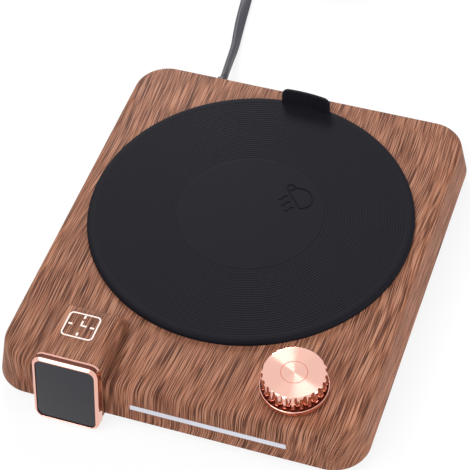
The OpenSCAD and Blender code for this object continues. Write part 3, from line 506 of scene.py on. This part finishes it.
# The walls and floor of the gap at the flutes' foot take the dark copper as painted shade
for face in knob.data.polygons:
    spot = face.center / mm - knob_middle
    out = spot.to_2d().length - knob_r
    low_down = flute_foot - 0.1 < spot.z - knob_low < rim_h - 0.1
    gap_painted_shade = low_down and (near < out < gap_w + near or out < 2 * near and face.normal.z > 0.9)
    on_top = spot.z > knob_top - 0.03 and face.normal.z > 0.95
    face.material_index = 2 if gap_painted_shade else int(on_top)
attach(knob, "knob")
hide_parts("knob_cap")
black_nylon = fine_skin("moulded_black_nylon", "#232326", 0.5, 0.8, 0.04)  # black with a satin shine
cream_nylon = fine_skin("moulded_cream_nylon", "#d3cdbb", 0.5, 0.8, 0.04)  # cream with a satin shine
dress(black_nylon, "knob_core", "encoder_body", "encoder_base")
dress(cream_nylon, "encoder_rotor")
dress(zinc, "encoder_shaft", "switch_dome", "encoder_washer", "encoder_nut")

# Display: a polished rose-gold frame with a rear ring and a seam behind it, pressed into the pod,
# and a smoked acrylic lens glued into its well. The appliance is off, so the lens is dark.
bezel_w = 29.8
bezel_h = 34.2
bezel_r = seat_r
bezel_x = -0.1
rear_in = 1.0
rear_h = 0.8
seam_in = 1.1
seam_h = 2.0
well_floor = 2.55


def rounded_face(name, width, height, radius):
    """A flat face with round corners, in edit mode and selected, lying at z = 0 with its front up."""
    piece = start_piece(name, bpy.ops.mesh.primitive_plane_add, size=1)
    bpy.ops.mesh.select_all(action="SELECT")
    bpy.ops.transform.resize(value=(width * mm, height * mm, 1))
    bpy.ops.mesh.bevel(offset=radius * mm, segments=14, affect="VERTICES")
    pick(piece, faces=lambda face: True)
    return piece


def step_up(steps):
    """Raises the selected face in steps: how far the outline draws in, and how far it rises."""
    for draw_in, rise in steps:
        if draw_in:
            bpy.ops.mesh.inset(thickness=abs(draw_in) * mm, depth=rise * mm, use_outset=draw_in < 0)
        else:
            bpy.ops.mesh.extrude_region_move(TRANSFORM_OT_translate={"value": (0, 0, rise * mm)})


def close_up(piece):
    """Turns all faces outwards and ends the piece."""
    bpy.ops.mesh.select_all(action="SELECT")
    bpy.ops.mesh.normals_make_consistent(inside=False)
    return end_piece(piece)


bezel = rounded_face("bezel", bezel_w - 2 * rear_in, bezel_h - 2 * rear_in, bezel_r - rear_in)
# Rear ring and seam, then the front frame with its back, side, bevel, rim and inner edge, then the well
ring_steps = [(seam_in - rear_in, rear_h), (0, seam_h)]
frame_steps = [(0.05 - seam_in, 0), (-0.05, 0.05), (0.05, 0.35), (0.75, 0.75)]
frame_steps += [(0.1, 0.06), (0.35, 0.04), (0.05, -0.05)]
well_top = sum(rise for draw_in, rise in ring_steps + frame_steps)
well_in = rear_in + sum(draw_in for draw_in, rise in ring_steps + frame_steps)
step_up(ring_steps + frame_steps + [(0.03, well_floor - well_top)])
close_up(bezel)


def rim_gap(spot):
    """How far a point lies inside the bezel's outline."""
    over = Vector((abs(spot.x) - bezel_w / 2 + bezel_r, abs(spot.y) - bezel_h / 2 + bezel_r))
    return bezel_r - Vector((max(0, over.x), max(0, over.y))).length - min(0, max(over))


bezel.data.materials.append(rose_gold)
bezel.data.materials.append(painted_shade_copper)
# The seam's upper side and the side walls of the lens well take the dark copper as painted shade; the seam's
# other sides stay plated
for face in bezel.data.polygons:
    gap = rim_gap(face.center / mm)
    on_seam = rear_h < face.center.z / mm < rear_h + seam_h and gap > seam_in - 0.05
    seam_painted_shade = on_seam and face.normal.y > 0.6
    well_painted_shade = gap > well_in - 0.02
    face.material_index = int(abs(face.normal.z) < 0.5 and (seam_painted_shade or well_painted_shade))
bezel_frame = seat_frame @ Matrix.Translation((bezel_x * mm, 0, 0))
bezel.data.transform(bezel_frame)
bpy.ops.object.shade_smooth_by_angle(angle=math.radians(30))
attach(bezel, "housing")
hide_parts("display_bezel")

# Lens: a thin slab with a rounded front edge, glued to the floor of the well
lens_w = 27.0
lens_h = 31.4
lens_r = 4.0
lens_side = 0.65
lens_edge_r = 0.3
lens_glue = 0.1
lens_edge_steps = 4
lens_arc = [math.pi / 2 * k / lens_edge_steps for k in range(lens_edge_steps + 1)]
lens_edge = [(lens_edge_r * (math.cos(a) - math.cos(b)), lens_edge_r * (math.sin(b) - math.sin(a)))
             for a, b in zip(lens_arc, lens_arc[1:])]
lens = rounded_face("lens", lens_w, lens_h, lens_r)
step_up([(0, lens_side)] + lens_edge)
close_up(lens)
lens.data.transform(bezel_frame @ Matrix.Translation((0, 0, (well_floor + lens_glue) * mm)))
bpy.ops.object.shade_smooth_by_angle(angle=math.radians(40))
smoked = fine_skin("smoked_acrylic", "#1a1922", 0.12, 3.0, 0.004)  # nearly black, smooth and glossy
lens.data.materials.append(smoked)
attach(lens, "housing")
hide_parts("display_lens")

# Clock mark: a silk-screened sign for the touch key, printed on the film of the pod's top.
# It is a thin layer of pale rose ink, an outline with four ticks and two hands.
clock_place = Vector((-42.7, -71.2, pod_top_z + 0.17))
clock_w = 13.6
clock_l = 12.4
clock_r = 2
ink_w = 0.62
ink_t = 0.06
tick_w = 0.85
tick_l = 1.5
side_tick_w = 0.8
side_tick_l = 1.7
hand_w = 0.75
clock = rounded_face("clock_mark", clock_w, clock_l, clock_r)
bpy.ops.mesh.inset(thickness=ink_w * mm)
bpy.ops.mesh.delete(type="FACE")
# Middle of each stroke, and its size across and along the pod
strokes = [
    ((0, 4.6), (tick_w, tick_l)),
    ((0, -4.3), (tick_w, tick_l)),
    ((-4.6, 0.1), (side_tick_l, side_tick_w)),
    ((4.6, 0.1), (side_tick_l, side_tick_w)),
    ((-0.1, 1.2), (hand_w, 2.7)),
    ((1.0, 0.2), (2.6, hand_w)),
]
for (x, y), (width, length) in strokes:
    middle = (x * mm, y * mm, 0)
    bpy.ops.mesh.primitive_plane_add(size=1, location=middle)
    bpy.ops.transform.resize(value=(width * mm, length * mm, 1), center_override=middle)
bpy.ops.mesh.select_all(action="SELECT")
bpy.ops.mesh.extrude_region_move(TRANSFORM_OT_translate={"value": (0, 0, ink_t * mm)})
close_up(clock)
pod_fall = 0.43  # how far the pod's top falls over its length
pod_tilt = Matrix.Rotation(-math.atan2(pod_fall, pod_l), 4, "X")
clock.data.transform(Matrix.Translation(clock_place * mm) @ pod_tilt)
ink = fine_skin("screen_ink", "#f3ded6", 0.5, 1.0, 0.01)  # pale pink, even and dull
clock.data.materials.append(ink)
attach(clock, "housing")

# Base: a moulded ABS cover with vents, four push-in rubber feet and self-tapping screws of plated steel.
# They close the housing from below and are only seen when it is turned over.
dark_abs = fine_skin("moulded_dark_abs", "#2d2b2b", 0.55, 0.9, 0.06)  # dark grey with a dull grit
rubber = fine_skin("moulded_rubber", "#1a1a1c", 0.8, 0.7, 0.05)  # black and without shine
dress(dark_abs, "base_cover")
dress(rubber, "rubber_feet")
dress(zinc, "base_screws")

# Mains lead: a flat twin lead of soft black PVC, two cores side by side with a shallow groove.
# It leaves the gland on edge, lies down flat on the table and ends in a neat coil of two layers.
cord_w = 5.2
cord_t = 2.8
coil_x = -22
coil_y = 218
coil_r = 35
coil_step = 4.6
coil_loops = 2.875
coil_climb = 0.5
coil_turns = 2 * coil_loops + coil_climb
coil_rings = 32
coil_lift = 0.9
layer_gap = 0.55
lower_z = cord_w / 2 + coil_lift
upper_z = lower_z + cord_w + layer_gap
plug_run = 21
gland_tip = Vector((gland_x, 97.772, gland_z))
on_edge = 90
# Places along the lead, and the turn of its section there in degrees
lead_route = [
    (*gland_tip, on_edge),
    (gland_x, gland_tip.y + cord_t, gland_z, on_edge),
    (-43.9, 106, 8.3, on_edge),
    (-45.2, 113, 6, 86),
    (-46.3, 120, 4.2, 80),
    (-47.4, 128, 3.1, 70),
    (-48.9, 136, 2.7, 54),
    (-50.7, 146, 2.2, 34),
    (-52.4, 157, 1.8, 14),
    (-53.7, 166, 1.7, 10),
    (-55, 176, 2.4, 35),
    (-56.2, 186, 3, 65),
    (-56.9, 196, lower_z, 86),
    (-57, 205, lower_z, on_edge),
    (coil_x - coil_r, coil_y - cord_w, lower_z, on_edge),
]


def rounded_route(points, steps):
    """The same route with more points, on a smooth curve through the chosen ones."""
    smooth = []
    for i in range(len(points) - 1):
        a, b, c, d = [Vector(points[max(0, min(len(points) - 1, i + k))]) for k in (-1, 0, 1, 2)]
        for s in range(steps):
            t = s / steps
            smooth.append(0.5 * (2 * b + (c - a) * t + (2 * a - 5 * b + 4 * c - d) * t * t
                                 + (3 * b - a - 3 * c + d) * t ** 3))
    return smooth + [Vector(points[-1])]


def coil_point(u):
    """Place of the coil's centre line after u turns: inward on the table, up, then outward."""
    r = coil_r - coil_step * min(u, coil_turns - u)
    a = math.pi - 2 * math.pi * u
    t = max(0, min(1, (u - coil_loops) / coil_climb))
    z = lower_z + (upper_z - lower_z) * t * t * (3 - 2 * t)
    return Vector((coil_x + r * math.cos(a), coil_y + r * math.sin(a), z, on_edge))


lead_path = rounded_route(lead_route, 3)
lead_path += [coil_point(i / coil_rings) for i in range(int(coil_turns * coil_rings) + 1)]
lead_path += [Vector((coil_x + plug_run * k / 3, coil_y + coil_r, upper_z, on_edge)) for k in (1, 2, 3)]
twin_r = cord_t / 2
twin_arc = 75  # a core's round side ends at the groove, this many degrees from its outermost point
twin_points = 7
twin_section = []
for core in (1, -1):
    for k in range(twin_points):
        a = math.radians(twin_arc * (2 * k / (twin_points - 1) - 1)) + (math.pi if core < 0 else 0)
        twin_section.append((core * (cord_w / 2 - twin_r) + twin_r * math.cos(a), twin_r * math.sin(a)))
# The section goes along the path and turns with it
lead_verts = []
for i, ring in enumerate(lead_path):
    before = lead_path[max(0, i - 1)]
    after = lead_path[min(len(lead_path) - 1, i + 1)]
    ahead = (after - before).to_3d().normalized()
    side = Vector((0, 0, 1)).cross(ahead).normalized()
    up = ahead.cross(side)
    a = math.radians(ring[3])
    wide = math.cos(a) * side + math.sin(a) * up
    thin = math.cos(a) * up - math.sin(a) * side
    lead_verts += [(ring.to_3d() + p * wide + q * thin) * mm for p, q in twin_section]
count = len(twin_section)
lead_faces = [tuple(range(count))[::-1], tuple(range(len(lead_verts) - count, len(lead_verts)))]
for i in range(len(lead_path) - 1):
    for k in range(count):
        n = (k + 1) % count
        lead_faces.append((i * count + k, i * count + n, (i + 1) * count + n, (i + 1) * count + k))
lead_mesh = bpy.data.meshes.new("mains_lead")
lead_mesh.from_pydata(lead_verts, [], lead_faces)
lead_mesh.validate()
mains_lead = bpy.data.objects.new("mains_lead", lead_mesh)
bpy.context.scene.collection.objects.link(mains_lead)
for face in lead_mesh.polygons:
    face.use_smooth = len(face.vertices) == 4
# Faded black with a dull shine along the cores
lead_pvc = fine_skin("extruded_black_pvc", "#45454b", 0.45, 0.8, 0.04, specular=0.12)
lead_mesh.materials.append(lead_pvc)
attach(mains_lead, "housing")
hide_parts("power_cord", "cord_coil")

# Gland, tie and plug: PVC pieces moulded on or round the lead, and brass blades pressed into the plug.
# They keep the shapes of the built solids.
black_pvc = fine_skin("moulded_black_pvc", "#2b2b2f", 0.55, 1.2, 0.05)  # near black and dull
brass = fine_skin("rolled_brass", "#c9b27a", 0.28, 2.5, 0.02, metallic=1.0)  # yellow metal, soft shine
dress(black_pvc, "cord_gland", "plug_body", "cord_tie")
dress(brass, "plug_blades")

# Mat: moulded black silicone with a rounded rim, fine rings round a plain middle and a raised cup mark.
# It lies loose on the plate, and an upright tab at the back lifts it off.
mat_t = 2.2
mat_steps = 200
rim_r = 1.6
rim_steps = 6
flat_edge = 0.4
pole_r = 0.01
ring_in = 0.45 * mat_r
ring_step = 1.2
ring_depth = 0.1
ring_count = 29
# Shape of one ring, as shares of its step and its depth
ring_shape = [(0.18, 0.7), (0.36, 1), (0.54, 0.7), (0.72, 0), (1, 0)]
# Half section: radius and height, from the middle of the top round to the middle of the underside
mat_profile = [(pole_r, mat_t), (ring_in - flat_edge, mat_t), (ring_in, mat_t)]
for i in range(ring_count):
    ring_start = ring_in + i * ring_step
    mat_profile += [(ring_start + along * ring_step, mat_t - down * ring_depth) for along, down in ring_shape]
mat_profile.append((mat_r - rim_r - flat_edge, mat_t))
for k in range(rim_steps + 1):
    a = math.pi / 2 * (1 - k / rim_steps)
    mat_profile.append((mat_r - rim_r + rim_r * math.cos(a), mat_t - rim_r + rim_r * math.sin(a)))
mat_profile += [(mat_r, 0), (pole_r, 0)]
mat_middle = Vector((0, plate_y, deck_z))
mat = start_piece("mat", bpy.ops.mesh.primitive_plane_add, size=1)
bpy.ops.mesh.select_all(action="SELECT")
bpy.ops.mesh.delete(type="VERT")
work = bmesh.from_edit_mesh(mat.data)
line = [work.verts.new((mat_middle + Vector((r, 0, z))) * mm) for r, z in mat_profile]
for a, b in zip(line, line[1:]):
    work.edges.new((a, b))
bmesh.update_edit_mesh(mat.data)
bpy.ops.mesh.select_all(action="SELECT")
bpy.ops.mesh.spin(steps=mat_steps, angle=2 * math.pi, center=mat_middle * mm, axis=(0, 0, 1))
bpy.ops.mesh.select_all(action="SELECT")
bpy.ops.mesh.remove_doubles(threshold=3 * pole_r * mm)
close_up(mat)

# Tab: a slab with two round corners and soft edges, bent round the mat's back edge
tab_w = 22.6
tab_h = 9
tab_low = 1
tab_t = 1.6
tab_foot_t = 2.8
tab_foot_curve = 1.6
tab_turn = math.radians(3)
tab_round = 3
tab_edge_r = 0.55
tab_slices = 24
tab = start_piece("mat_tab", bpy.ops.mesh.primitive_cube_add, size=1)
bpy.ops.mesh.select_all(action="SELECT")
bpy.ops.transform.resize(value=(tab_w * mm, tab_t * mm, (tab_h - tab_low) * mm))
bpy.ops.transform.translate(value=(0, -tab_t / 2 * mm, (tab_h + tab_low) / 2 * mm))


def upper_corner(edge):
    """A test for the tab's two upper corners."""
    a, b = [vert.co / mm for vert in edge.verts]
    return min(a.z, b.z) > tab_h - near and abs(a.x - b.x) < near


pick(tab, edges=upper_corner)
bpy.ops.mesh.bevel(offset=tab_round * mm, segments=10, affect="EDGES")
for k in range(1, tab_slices):
    bpy.ops.mesh.select_all(action="SELECT")
    bpy.ops.mesh.bisect(plane_co=((k / tab_slices - 0.5) * tab_w * mm, 0, 0), plane_no=(1, 0, 0))
sharp = 0.8  # edges that turn by more than this, in radians
pick(tab, edges=lambda edge: edge.is_manifold and edge.calc_face_angle() > sharp)
bpy.ops.mesh.bevel(offset=tab_edge_r * mm, segments=4, affect="EDGES")
work = bmesh.from_edit_mesh(tab.data)
for vert in work.verts:
    # The inner side runs out to a thicker foot, and the whole bends round the mat
    across, depth, height = vert.co / mm
    foot = max(0, 1 - (height - mat_t) / (tab_h - mat_t)) ** tab_foot_curve
    radius = mat_r + depth * (1 + foot * (tab_foot_t / tab_t - 1))
    angle = math.pi / 2 - tab_turn - across / mat_r
    vert.co = (mat_middle + Vector((radius * math.cos(angle), radius * math.sin(angle), height))) * mm
bmesh.update_edit_mesh(tab.data)
end_piece(tab)

# Cup mark: its upper edge, bowl and handle, and three wisps of steam
mark_r = 0.32
mark_z = deck_z + mat_t + 0.02
cup_lines = [
    [(11.6, 27.8), (19.3, 19.5)],
    [(11.6, 27.8), (14.8, 30.4), (18, 30.6), (21.1, 28.9), (22.9, 25.4), (22.3, 21.9), (19.3, 19.5)],
    [(11.6, 28.1), (10.5, 30), (10.9, 31.4), (12.4, 31.5), (14, 30.5)],
    [(8.9, 21.9), (10.3, 23.1), (10.5, 24.5), (12, 24.9)],
    [(11.1, 19.2), (12.3, 20.2), (12.6, 21.5), (14.2, 22.2)],
    [(13.6, 16.7), (14.6, 17.6), (15, 18.9), (16.7, 19.5)],
]
cup_strokes = []
for line in cup_lines:
    curve = bpy.data.curves.new("cup_mark", "CURVE")
    curve.dimensions = "3D"
    curve.bevel_depth = mark_r * mm
    curve.bevel_resolution = 2
    curve.use_fill_caps = True
    route = rounded_route([(x, y, mark_z) for x, y in line], 6 if len(line) > 2 else 1)
    spline = curve.splines.new("POLY")
    spline.points.add(len(route) - 1)
    for point, p in zip(spline.points, route):
        point.co = (*p * mm, 1)
    stroke = bpy.data.objects.new("cup_mark", curve)
    bpy.context.scene.collection.objects.link(stroke)
    cup_strokes.append(stroke)
bpy.ops.object.select_all(action="DESELECT")
for stroke in cup_strokes:
    stroke.select_set(True)
    bpy.context.view_layer.objects.active = stroke
bpy.ops.object.convert(target="MESH")
for piece in (tab, mat):
    piece.select_set(True)
bpy.context.view_layer.objects.active = mat
bpy.ops.object.join()
bpy.ops.object.shade_smooth_by_angle(angle=math.radians(30))
mat.data.materials.clear()
# Soft blue-black with almost no shine
silicone = fine_skin("moulded_black_silicone", "#16161c", 0.6, 0.7, 0.03, specular=0.05)
mat.data.materials.append(silicone)
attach(mat, "mat")
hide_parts("silicone_mat")

# Camera at the photograph's place: over the front right corner with a long lens, rolled a little.
# Its angles come from the deck's outline and from the round mat.
camera_turn = Matrix.Rotation(math.radians(21.464), 4, "Z")
camera_tilt = Matrix.Rotation(math.radians(90 - 48.862), 4, "X")
camera_roll = Matrix.Rotation(math.radians(-3.563), 4, "Z")
camera_place = Matrix.Translation(Vector((181.60, -469.68, 599.85)) * mm)
camera_data = bpy.data.cameras.new("photo_camera")
camera_data.sensor_width = 36
camera_data.lens = 140.59
camera = bpy.data.objects.new("photo_camera", camera_data)
camera.matrix_world = camera_place @ camera_turn @ camera_tilt @ camera_roll
bpy.context.scene.collection.objects.link(camera)
bpy.context.scene.camera = camera
bpy.context.scene.view_settings.view_transform = "Standard"


# Studio: a white paper floor that keeps a faint shadow, a broad key lamp at the front left, a fill lamp at
# the right and one behind. Camera, mirror and glass rays see the sky as white and the paper nearly so.
def plain_view(material):
    """A socket that is 1 for camera, mirror and glass rays and 0 for all others."""
    rays = add_node(material, "ShaderNodeLightPath")
    seen = add_node(material, "ShaderNodeMath",
                    [(0, rays.outputs["Is Camera Ray"]), (1, rays.outputs["Is Glossy Ray"])],
                    operation="MAXIMUM")
    clear = add_node(material, "ShaderNodeMath",
                     [(0, seen.outputs["Value"]), (1, rays.outputs["Is Transmission Ray"])],
                     operation="MAXIMUM")
    return clear.outputs["Value"]


floor_w = 6000
floor = end_piece(start_piece("floor", bpy.ops.mesh.primitive_plane_add, size=floor_w * mm))
# White and matt
paper, paper_skin = new_material("white_paper", "#f4f4f4", 0.9)
paper_glow = 0.85
share = add_node(paper, "ShaderNodeMath", [(0, plain_view(paper))], operation="MULTIPLY")
share.inputs[1].default_value = paper_glow
white = add_node(paper, "ShaderNodeEmission", Strength=1.0)
lit = add_node(paper, "ShaderNodeMixShader", [
    ("Fac", share.outputs["Value"]), (1, paper_skin.outputs["BSDF"]), (2, white.outputs["Emission"])])
paper_out = paper.node_tree.nodes["Material Output"]
paper.node_tree.links.new(lit.outputs["Shader"], paper_out.inputs["Surface"])
floor.data.materials.append(paper)

# Sky: a dim, even light that looks white
sky = bpy.data.worlds.new("studio_sky")
sky.use_nodes = True
bpy.context.scene.world = sky
sky_level = add_node(sky, "ShaderNodeMapRange", [("Value", plain_view(sky))], To_Min=0.40, To_Max=1.0)
sky_light = sky.node_tree.nodes["Background"]
sky_light.inputs["Color"].default_value = (1, 1, 1, 1)
sky.node_tree.links.new(sky_level.outputs["Result"], sky_light.inputs["Strength"])


def soft_lamp(name, place, aim, size, power, roll=0.0):
    """A flat lamp of that size and power in watts that faces its aim, rolled by an angle in degrees."""
    data = bpy.data.lights.new(name, "AREA")
    data.shape = "RECTANGLE"
    data.size = size[0] * mm
    data.size_y = size[1] * mm
    data.energy = power
    lamp = bpy.data.objects.new(name, data)
    lamp.location = Vector(place) * mm
    facing = (Vector(aim) - Vector(place)).to_track_quat("-Z", "Y")
    lamp.rotation_euler = (facing @ Quaternion((0, 0, 1), math.radians(roll))).to_euler()
    bpy.context.scene.collection.objects.link(lamp)


soft_lamp("key_lamp", (-350, -600, 880), (0, 0, 20), (700, 700), 8.2)
soft_lamp("fill_lamp", (650, -120, 230), (75, 0, 15), (400, 300), 2.8)
soft_lamp("back_lamp", (-355, 731, 482), (knob_x, knob_y, knob_top), (300, 220), 6, roll=27.4)
